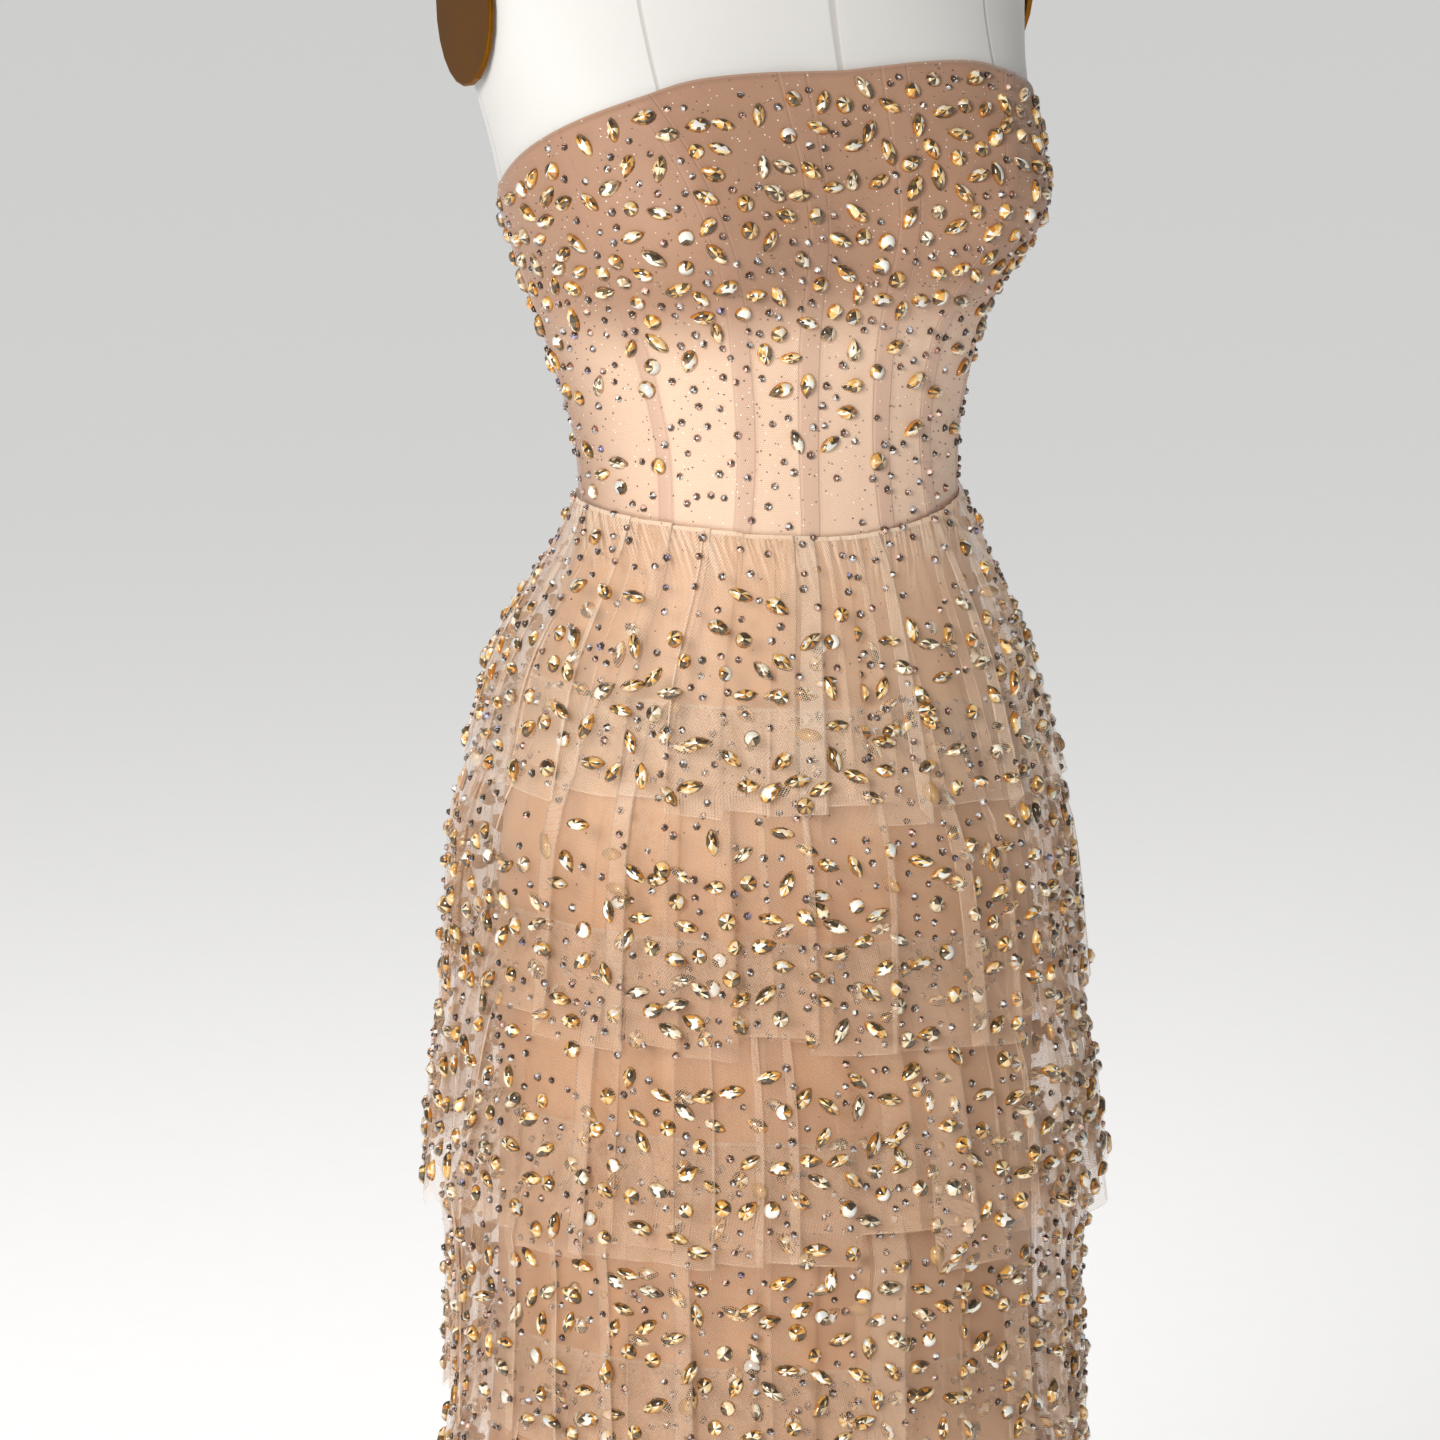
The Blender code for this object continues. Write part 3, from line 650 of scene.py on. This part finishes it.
def flounce_grid(number, seed, inset=0.0, shorter=0.0, rows=11):
    """Rings of one layer of a flounce, hem first, and each point's distance from the nearest fold."""
    rings = FLOUNCES[number]
    columns = pleat_columns(PLEATS[number], HEM_STEPS[number], seed)
    turn, width, lap, depth, place, drop, outer_edge, inner_edge = columns
    random = np.random.default_rng(seed + 50)
    waves = random.uniform(0, 2 * np.pi, 10)
    hem_height, top_ring = rings[0][0] + shorter, rings[-1]
    if number:
        seat = np.full_like(turn, FLOUNCES[number - 1][0][0] + SEAT_OVERLAP)
    else:
        seat = waist_height(turn) + WAIST_LAY
    seat_oval = smooth_columns(LINING_SECTIONS, seat.mean())
    table = [list(ring) for ring in rings]
    if number:
        over = FLOUNCES[number - 1][0]
        tucked = [min(over[i] - TUCK, top_ring[i] + 0.002) for i in (1, 3)]
        table.append([over[0], tucked[0], over[2], tucked[1], 0.0030])
    table.append([seat.mean(), *(seat_oval + [SEAT_OFF, 0.0, SEAT_OFF]), 0.0006])
    falls = np.linspace(0, 1, rows)[:, None] ** 1.15
    nominal = hem_height + falls * (seat.mean() - hem_height)
    sections = smooth_columns(table, nominal[:, 0])[:, None, :]
    fold_depth = np.clip(sections[..., 3], 0.0005, 0.008) * depth
    swing = np.sin(2 * np.pi * place)
    sway, bow, ripple = [added_waves(turn, waves, kind) for kind in (SWAY, BOW, RIPPLE)]
    angles = turn + width * lap * swing + sway * (1 - falls) + bow * np.sin(np.pi * falls)
    body = 0.0016 * np.sin(4 * turn + waves[2] + 3 * falls) + 0.0012 * np.sin(7 * turn + waves[3] - 4 * falls)
    hang = np.pi * np.clip(1.15 - falls, 0, 1) / 1.15
    reach = fold_depth * swing + body * np.sin(hang) - inset * soft_step(1 - falls, 0, 0.2)
    tilt = -np.interp(nominal, *np.array(HEM_TILT).T) * np.sin(turn)
    heights = hem_height + falls * (seat - hem_height) + tilt + np.abs(ripple * (1 - falls) ** 2)
    clear_of_floor = HEM_STEPS[-1] if number == len(FLOUNCES) - 1 else 0.0
    heights = heights + (drop + clear_of_floor) * (1 - falls) ** 8
    points = oval_points(sections[..., :3], angles, heights, reach)
    along = flat_measures(points)[0][:, :-1]
    at_fold = np.minimum(np.abs(place - outer_edge), np.abs(place - inner_edge)) < 1e-6
    folds = np.flatnonzero((lap > MARKED_LAP) & at_fold)
    return points, np.min(np.abs(along[:, :, None] - along[:, None, folds]), axis=2)


# %% Two layers of net for every flounce
net_grids = {}
for number in range(len(FLOUNCES)):
    for layer, (inset, shorter) in LAYERS.items():
        seed = 10 * number + (layer == "inner")
        points, nearest = flounce_grid(number, seed, inset, shorter)
        hem = flat_measures(points)[1][:, :-1]
        name = f"net_flounce_{number + 1}_{layer}"
        net = cloth_tube(name, points, {"fold": nearest, "hem": hem, "from_seat": hem[-1] - hem})
        net_grids[number, layer] = (points, np.stack([points[..., 2], hem], axis=-1))
        print(name, "faces", len(net.data.polygons))

# %% [markdown]
# ### The finish of the net
#
# Threads are opaque and holes clear, so each layer stops about a quarter of the light. A fold and the cut
# hem have more thread in a small space, so the net is denser and paler there. Near the seat fine gathers
# run down from the seam and fade out.

# %% Net finish
def net_finish(name, pitch, turn, thread, light, dark):
    net = Finish(name, Roughness=0.7, Sheen_Weight=0.2, Sheen_Roughness=0.5)
    threads = net_threads(net, pitch, turn, thread)
    uneven, gather_lines = net.streaks(30.0, 9.0, 2.0), net.streaks(420.0, 22.0, 1.0)
    edge, cut = net.near("fold", 0.0003, 0.0012, 0.58), net.near("hem", 0.0004, 0.0012, 0.26)
    lines = net.times(net.math("MAXIMUM", edge, cut), net.remap(uneven, 0.34, 0.60, 0.45, 1.0))
    gathered = net.near("from_seat", 0.002, 0.050, 0.45)
    bunched = net.times(net.remap(gather_lines, 0.45, 0.65), gathered)
    seat = net.near("from_seat", 0.0016, 0.0032, 0.55)
    cover = net.math("MAXIMUM", net.math("MAXIMUM", lines, seat), bunched)
    threads = net.times(threads, net.remap(uneven, 0.3, 0.7, 0.80, 1.0))
    net.set("Alpha", net.math("MAXIMUM", threads, cover))
    height = net.add("SeparateXYZ", {0: net.place()}).outputs[2]
    ground = net.layer(net.mix(uneven, shade(*dark), shade(*light)), cover, 0.8, 250, 226, 200)
    # below the first flounce the net is painted darker too: painted shade from the layers over it
    ground = net.layer(ground, net.remap(height, 0.84, 0.94, 1.0, 0.0), 0.42, 196, 148, 108)
    net.set("Base Color", ground)
    net.bump(net.times(gather_lines, gathered), 0.0015, 0.8)
    return net.material


outer_net = net_finish("nude_net_outer", 0.00140, 12.0, -1.02, (243, 222, 200), (232, 203, 175))
inner_net = net_finish("nude_net_inner", 0.00134, 17.0, -1.00, (232, 197, 164), (219, 178, 142))
for number, layer in net_grids:
    net = bpy.data.objects[f"net_flounce_{number + 1}_{layer}"]
    if layer == "outer":
        dress(net, outer_net, "nude_net", f"net_tier_{number + 1}")
    else:
        dress(net, inner_net, "nude_net")
print("net pieces:", len(net_grids))

# %% [markdown]
# ## Stones
#
# Four cuts are sewn on: the navette, a pointed oval 16 mm long; the pear; the round star cut; and small
# chatons, with glitter dots between them. Each is modelled once. A flat disc is drawn in to a smaller
# table in one or two steps, which leaves rings of facets, and the table is poked into a star. Pulling
# the tips then gives the outline.

# %% The cuts
def shaped_stone(name, sides, draw_in=((0.26, 0.84), (0.44, 0.66)), peak=0.02):
    """A round stone one unit across, with a flat back, rings of facets and a starred table."""
    bpy.ops.object.select_all(action="DESELECT")
    bpy.ops.mesh.primitive_circle_add(vertices=sides, radius=0.5, fill_type="NGON")
    stone = bpy.context.object
    stone.name = name
    bpy.ops.object.mode_set(mode="EDIT")
    bpy.ops.mesh.select_all(action="SELECT")
    height = 0.0
    for level, share in draw_in:
        rise = {"value": (0.0, 0.0, level - height)}
        bpy.ops.mesh.extrude_region_move(TRANSFORM_OT_translate=rise)
        bpy.ops.transform.resize(value=(share, share, 1.0))
        height = level
    bpy.ops.mesh.poke(offset=peak)
    bpy.ops.mesh.select_all(action="SELECT")
    bpy.ops.mesh.normals_make_consistent(inside=False)
    bpy.ops.object.mode_set(mode="OBJECT")
    # extruded faces come in another order on each run, and the order decides which facet has which tone
    faces = sorted((list(face.vertices) for face in stone.data.polygons), key=sorted)
    corners = [vertex.co[:] for vertex in stone.data.vertices]
    stone.data.clear_geometry()
    stone.data.from_pydata(corners, [], faces)
    return stone


def pull_tips(stone, reach, both):
    """Pulls one end, or both, out to a point."""
    for end in stone.data.vertices:
        share = abs(end.co.x) / 0.5 if both or end.co.x > 0 else 0.0
        end.co.x *= 1 + (reach - 1) * share**3
        end.co.y *= 1 - 0.35 * share**2


round_stone = shaped_stone("round_cut", 12, ((0.24, 0.84),), 0.26)
navette_stone = shaped_stone("navette_cut", 12)
pull_tips(navette_stone, 1.0, True)
pear_stone = shaped_stone("pear_cut", 12)
pull_tips(pear_stone, 1.25, False)
chaton_stone = shaped_stone("chaton_cut", 6, ((0.42, 0.55),))
dot_stone = shaped_stone("glitter_dot", 4, ((0.45, 0.35),))
MODELS = (round_stone, navette_stone, pear_stone, chaton_stone, dot_stone)
for stone in MODELS:
    print(stone.name, "faces", len(stone.data.polygons))


# %% [markdown]
# ### Facet colours and painted highlights
#
# Glass stones with a foiled back look like a jigsaw of bright and dark facets. Real refraction and reflection
# would be lost at this size, so each facet is given its own tone, painted reflections and highlights among
# them.
# A wave round the stone, with a start chosen at random, puts like tones side by side, and the facet's ring
# decides how likely each tone is.

# %% Tones of the facets, painted reflections and highlights among them
# the darkest tone is a painted dark reflection and the white and bluish-white ones are painted highlights;
# the browns, ambers and golds are the glass and foil
GLASS_AND_HIGHLIGHT_TONES = np.array([
    shade(46, 34, 14), shade(104, 82, 42), shade(190, 120, 34), shade(228, 172, 84),
    shade(246, 218, 160), shade(255, 248, 230), shade(220, 236, 248),
])
SMALL_GLASS_AND_HIGHLIGHT_TONES = np.array([
    shade(34, 28, 27), shade(84, 54, 42), shade(150, 104, 84), shade(120, 114, 112),
    shade(200, 198, 198), shade(255, 254, 250), shade(208, 224, 242),
])
# chances of each tone, darkest first, at the rim, in the next rings and on the table
LARGE_RINGS = (
    (0.13, 0.16, 0.29, 0.22, 0.13, 0.05, 0.02),
    (0.30, 0.20, 0.08, 0.12, 0.15, 0.11, 0.04),
    (0.26, 0.18, 0.06, 0.13, 0.18, 0.14, 0.05),
)
SMALL_RINGS = 3 * ((0.38, 0.14, 0.06, 0.10, 0.12, 0.14, 0.06),)


def facet_tones_and_highlights(stone, count, random, chances_by_ring, tones, painted_flash_share=0.0, tinted=()):
    """A colour for every facet of every copy, painted reflections and highlights included. The sixth argument
    is the share of stones with a painted highlight on the table.
    """
    faces = stone.data.polygons
    centres = np.array([face.center[:] for face in faces])
    heights = centres[:, 2] / centres[:, 2].max()
    reach = np.hypot(centres[:, 0], centres[:, 1])
    sector = np.arctan2(centres[:, 1], centres[:, 0])
    ring = np.where(reach > 0.395, 0, np.where(heights > 0.92, 2, 1))
    start = random.uniform(0, 2 * np.pi, (count, 3))
    luck = random.random((count, len(faces)))
    wave = np.cos(sector - start[:, :1]) + np.cos(2 * sector - start[:, 1:2])
    chance = wave + np.cos(5 * sector - start[:, 2:]) + 1.6 * luck
    chance = (np.argsort(np.argsort(chance, axis=1), axis=1) + 0.5) / len(faces) * 0.8 + luck * 0.2
    steps = np.cumsum(np.array(chances_by_ring), axis=1)[ring]
    tone = np.minimum((chance[:, :, None] > steps[None]).sum(axis=2), len(tones) - 1)
    colours = tones[tone]
    # on some stones the table facets get a painted highlight
    painted_flash = (random.random((count, 1)) < painted_flash_share) & (ring == 2) & (np.cos(sector - start[:, :1]) > -0.35)
    colours[painted_flash] = tones[-1] * 0.35 + tones[-2] * 0.65
    colours[..., :3] *= random.uniform(0.72, 1.08, (count, 1, 1))
    for share, colour, strength in tinted:
        mine = random.random(count) < share
        grey = colours[mine][..., :3].mean(axis=2, keepdims=True) * 1.6
        colours[mine, :, :3] = colours[mine, :, :3] * (1 - strength) + grey * np.array(colour[:3]) * strength
    colours[:, centres[:, 2] < 1e-4] = shade(196, 152, 96)
    return np.clip(colours, 0, 1)


# %% [markdown]
# ### Sewing the stones on
#
# A stone's place is drawn at random. It is kept more often where the photograph shows more stones,
# seldom on the hidden back of a pleat, and never too near another stone. The stone then lies flat on the
# cloth. All copies of a cut on a piece become one mesh.

# %% Places on cloth
def cell_values(grid, cells, across, up):
    """What a closed grid holds at some shares of the way across and up its cells."""
    ring = np.concatenate([grid, grid[:, :1]], axis=1)
    row, column = np.divmod(cells, grid.shape[1])
    low = ring[row, column] * (1 - across) + ring[row, column + 1] * across
    high = ring[row + 1, column] * (1 - across) + ring[row + 1, column + 1] * across
    return low * (1 - up) + high * up


def stone_places(cloth, random, per_square_metre, chance, spacing, taken):
    """Places for stones on cloth: position, direction round, direction up and outward.

    chance turns the marks of a spot into a chance from 0 to 1.
    """
    points, marks = cloth
    ring = np.concatenate([points, points[:, :1]], axis=1)
    across = (ring[:-1, 1:] - ring[:-1, :-1]).reshape(-1, 3)
    normal = np.cross(across, (ring[1:, :-1] - ring[:-1, :-1]).reshape(-1, 3))
    area = np.linalg.norm(normal, axis=1)
    tries = int(area.sum() * per_square_metre * 3)
    cells = random.choice(len(area), size=tries, p=area / area.sum())
    s, t = random.random((2, tries, 1))
    position = cell_values(points, cells, s, t)
    facing = np.sum(normal[cells, :2] * position[:, :2], axis=1) > 0
    likely = chance(cell_values(marks, cells, s, t).T) * np.where(facing, 1.0, 0.12)
    wanted = int(round(likely.sum() / 3))
    kept, near = [], taken
    for i in np.flatnonzero(random.random(tries) < likely):
        if len(kept) == wanted:
            break
        room = np.sum((near[:, :3] - position[i]) ** 2, axis=1) - (near[:, 3] + spacing) ** 2
        if np.any(room < 0):
            continue
        near = np.vstack([near, [*position[i], spacing]])
        kept.append(i)
    chosen = cells[kept]
    outward = normal[chosen] / area[chosen, None]
    around = across[chosen] / np.linalg.norm(across[chosen], axis=1, keepdims=True)
    return position[kept], around, np.cross(outward, around), outward, near


def joined_copies(name, stone, places, sizes, turns, colours):
    """Copies of a stone at many places as one mesh. sizes holds length, width and height."""
    position, around, upward, outward = places
    count, base = len(position), np.array([v.co[:] for v in stone.data.vertices])
    cosine, sine = np.cos(turns)[:, None], np.sin(turns)[:, None]
    long_way = around * cosine + upward * sine
    short_way = upward * cosine - around * sine
    axes = np.stack([long_way * sizes[:, :1], short_way * sizes[:, 1:2], outward * sizes[:, 2:3]], axis=1)
    points = np.einsum("vk,nkx->nvx", base, axes) + position[:, None, :]
    faces = [list(face.vertices) for face in stone.data.polygons]
    lengths = np.tile([len(face) for face in faces], count)
    copies = [[len(base) * copy + corner for corner in face] for copy in range(count) for face in faces]
    mesh = bpy.data.meshes.new(name)
    mesh.from_pydata(points.reshape(-1, 3).tolist(), [], copies, shade_flat=False)
    tone = np.repeat(colours.reshape(-1, 4), lengths, axis=0)
    mesh.color_attributes.new("facet", "FLOAT_COLOR", "CORNER").data.foreach_set("color", tone.reshape(-1))
    return placed(name, mesh)


# %% [markdown]
# ### Glass
#
# The facet tones are the foiled back seen through the glass, with painted reflections and highlights on some
# facets. A clear coat gives the hard gloss of the cut face, a little metal lets the tones glint as foil does,
# and very fine scratches keep the gloss from looking like plastic.

# %% Glass finish
crystal = Finish("foiled_glass", Metallic=0.12, Coat_Weight=0.8, Coat_Roughness=0.03, IOR=1.6)
facet = crystal.add("Attribute", attribute_name="facet").outputs["Color"]
inside = crystal.noise(crystal.place(), 900.0, 2.0)
# the facet colours carry the painted reflections and highlights
crystal.set("Base Color", crystal.layer(facet, inside, 0.16, 150, 104, 44))
crystal.set("Roughness", crystal.remap(inside, 0.3, 0.7, 0.12, 0.28))
crystal.bump(inside, 0.00005, 0.25)

# %% Stones for one piece of cloth
CUTS = {
    # cut: (stone, share of the large stones, length, width, height)
    "navette": (navette_stone, 0.44, 0.0162, 0.0080, 0.0078),
    "pear": (pear_stone, 0.24, 0.0132, 0.0092, 0.0080),
    "round": (round_stone, 0.32, 0.0104, 0.0104, 0.0084),
}
# share of the stones, colour, and how far it takes over
LARGE_TINTS = ((0.16, shade(236, 228, 204), 0.55), (0.10, shade(250, 190, 96), 0.40))
SMALL_TINTS = ((0.34, shade(214, 150, 122), 0.60), (0.03, shade(150, 146, 206), 0.85))
LARGE_SPACING = 0.0066
# name: (stone, shortest, longest, room round it)
SMALL_KINDS = {
    "chatons": (chaton_stone, 0.0043, 0.0056, 0.0034),
    "glitter": (dot_stone, 0.0009, 0.0015, 0.0008),
}
stone_count = {"large": 0, "chatons": 0, "glitter": 0}


def turned(random, count, level_share):
    """Most stones lie near level, and the rest any way."""
    level = random.normal(0, math.radians(32), count)
    free = random.uniform(-math.pi / 2, math.pi / 2, count)
    flip = np.pi * random.integers(0, 2, count)
    return np.where(random.random(count) < level_share, level, free) + flip


def sew_stones(name, cloth, seed, large, small, dots, level_share=0.6):
    """Sews stones to cloth. large, small and dots are each (most a square metre, chance by marks)."""
    random = np.random.default_rng(seed)
    taken, made = np.zeros((0, 4)), []
    *places, taken = stone_places(cloth, random, *large, LARGE_SPACING, taken)
    count = len(places[0])
    kind = random.choice(3, size=count, p=[cut[1] for cut in CUTS.values()])
    turns = turned(random, count, level_share)
    for number, (cut, (stone, _, *size)) in enumerate(CUTS.items()):
        mine = kind == number
        some = int(mine.sum())
        if not some:
            continue
        sizes = np.array(size) * random.uniform(0.88, 1.06, (some, 1))
        tones = facet_tones_and_highlights(stone, some, random, LARGE_RINGS, GLASS_AND_HIGHLIGHT_TONES, 0.20, LARGE_TINTS)
        spots = [part[mine] for part in places]
        made.append(joined_copies(f"{name}_{cut}s", stone, spots, sizes, turns[mine], tones))
    stone_count["large"] += count
    for (word, (stone, low, high, gap)), (rate, where) in zip(SMALL_KINDS.items(), (small, dots)):
        if not rate:
            continue
        *places, taken = stone_places(cloth, random, rate, where, gap, taken)
        some = len(places[0])
        sizes = random.uniform(low, high, (some, 1)) * np.ones((1, 3))
        tones = facet_tones_and_highlights(stone, some, random, SMALL_RINGS, SMALL_GLASS_AND_HIGHLIGHT_TONES, 0.0, SMALL_TINTS)
        turns = random.uniform(0, 2 * np.pi, some)
        made.append(joined_copies(f"{name}_{word}", stone, places, sizes, turns, tones))
        stone_count[word] += some
    for piece in made:
        dress(piece, crystal.material, "crystal")


# %% [markdown]
# ### Where the stones go
#
# The bust is thick with large stones. They thin out below it, and the midriff has mostly chatons. The
# first few centimetres under the waist are nearly bare of large stones. Each flounce has fewer just below
# the hem over it, more lower down, and a narrow bare strip at its own hem.

# %% Stones on the bodice
def large_on_bodice(marks):
    height, below, above = marks
    dense = 0.26 * soft_step(height, 1.125, 1.170) + 0.68 * soft_step(height, 1.165, 1.210)
    return (0.06 + dense) * (below > 0.0095) * (above > 0.008)


def small_on_bodice(marks):
    height, below, above = marks
    return (0.45 + 0.55 * soft_step(height, 1.13, 1.20)) * (below > 0.0055) * (above > 0.005)


def clear_of_edges(marks):
    return (marks[1] > 0.002) * (marks[2] > 0.002)


bodice_grid = (bodice_points, np.stack([bodice_heights, below_edge, above_waist], axis=-1))
bodice_kinds = (5000, large_on_bodice), (4900, small_on_bodice), (7000, clear_of_edges)
sew_stones("bodice", bodice_grid, 301, *bodice_kinds, 0.35)
print("bodice stones:", stone_count)

# %% Stones on the flounces
def over_flounce(top, bare_top, least):
    """The chance of a stone on a flounce: none at its hem, and only least for some way below top."""
    def chance(marks):
        height, rise = marks
        below_top = soft_step(top - height, bare_top, bare_top + 0.03)
        return soft_step(rise, 0.004, 0.012) * (least + (1 - least) * below_top)
    return chance


# where the first flounce's scatter starts, and how far below their tops the others are bare
FIRST_TOP, FIRST_BARE, BARE = 1.056, 0.035, 0.002
# least share of large stones, chatons and glitter dots in the barer part
LEAST_SHARES = (0.05, 0.6, 0.6)
# large stones, chatons and glitter dots a square metre, first seed and end of the name
STONE_RATES = {"outer": ((2750, 3000, 1700), 400, ""), "inner": ((600, 500, 0), 500, "_under")}
for number, layer in net_grids:
    top, bare_top = (FLOUNCES[number - 1][0][0], BARE) if number else (FIRST_TOP, FIRST_BARE)
    rates, seed, ending = STONE_RATES[layer]
    kinds = [(rate, over_flounce(top, bare_top, least)) for rate, least in zip(rates, LEAST_SHARES)]
    sew_stones(f"flounce_{number + 1}{ending}", net_grids[number, layer], seed + number, *kinds)
print("all stones:", stone_count)
for stone in MODELS:
    bpy.data.objects.remove(stone, do_unlink=True)

# %% [markdown]
# ## Floor, light and camera
#
# The floor is plain and pale. A large soft light from the front left models the bust and the
# pleats, a weaker one from the right opens the shadows, and a high one behind draws the outline. The
# camera is at eye height at the wearer's right front, and looks down a little.

# %% Floor
bpy.ops.object.select_all(action="DESELECT")
bpy.ops.mesh.primitive_plane_add(size=60.0, location=(0.0, 0.0, 0.0))
floor = bpy.context.object
floor.name = "floor"
pale = Finish("pale_floor", Roughness=0.8, Emission_Strength=0.37)
grain = pale.noise(pale.place(), 30.0, 4.0)
pale.set("Base Color", pale.mix(grain, shade(226, 225, 223), shade(232, 231, 229)))
floor.data.materials.append(pale.material)


# %% Lights
def soft_light(name, place, power, size, aim=(0.0, 0.0, 0.95), colour=(1.0, 1.0, 1.0)):
    lamp = bpy.data.lights.new(name, "AREA")
    lamp.energy, lamp.size, lamp.color = power, size, colour
    light = placed(name, lamp)
    light.location = place
    light.rotation_euler = (Vector(aim) - Vector(place)).to_track_quat("-Z", "Y").to_euler()


soft_light("key_light", (-3.2, -2.4, 2.6), 180.0, 1.3, aim=(0.0, 0.0, 1.1), colour=(1.0, 0.985, 0.96))
soft_light("fill_light", (2.8, -2.4, 1.6), 4.0, 2.0)
soft_light("top_light", (0.4, 1.8, 3.2), 40.0, 1.6)
world = bpy.data.worlds.new("studio")
world.use_nodes = True
background = world.node_tree.nodes["Background"].inputs
background["Color"].default_value = (0.92, 0.92, 0.92, 1.0)
background["Strength"].default_value = 0.33
scene.world = world

# %% Camera
VIEW_TURN, VIEW_DISTANCE, VIEW_HEIGHT, AIM_HEIGHT = math.radians(-30.0), 4.0, 1.80, 0.93
# how far the gown's middle lies right of the frame's, and the focal length, in pixels of the photograph
ASIDE_PIXELS, FOCAL_PIXELS = 50, 7000
aside = math.atan2(ASIDE_PIXELS, FOCAL_PIXELS)
into = Vector((-math.sin(VIEW_TURN), math.cos(VIEW_TURN), 0.0))
right = Vector((into.y, -into.x, 0.0))
level = into * math.cos(aside) - right * math.sin(aside)
dip = math.atan2(AIM_HEIGHT - VIEW_HEIGHT, VIEW_DISTANCE)
look = level * math.cos(dip) + Vector((0.0, 0.0, math.sin(dip)))
lens = bpy.data.cameras.new("camera")
lens.lens, lens.sensor_width = 175.0, 36.0
camera = placed("camera", lens)
camera.location = -into * VIEW_DISTANCE + Vector((0.0, 0.0, VIEW_HEIGHT))
camera.rotation_euler = look.to_track_quat("-Z", "Y").to_euler()
scene.camera = camera
bounces = scene.cycles
bounces.transparent_max_bounces, bounces.max_bounces = 28, 5
bounces.diffuse_bounces, bounces.glossy_bounces = 3, 2
scene.view_settings.view_transform = "Standard"
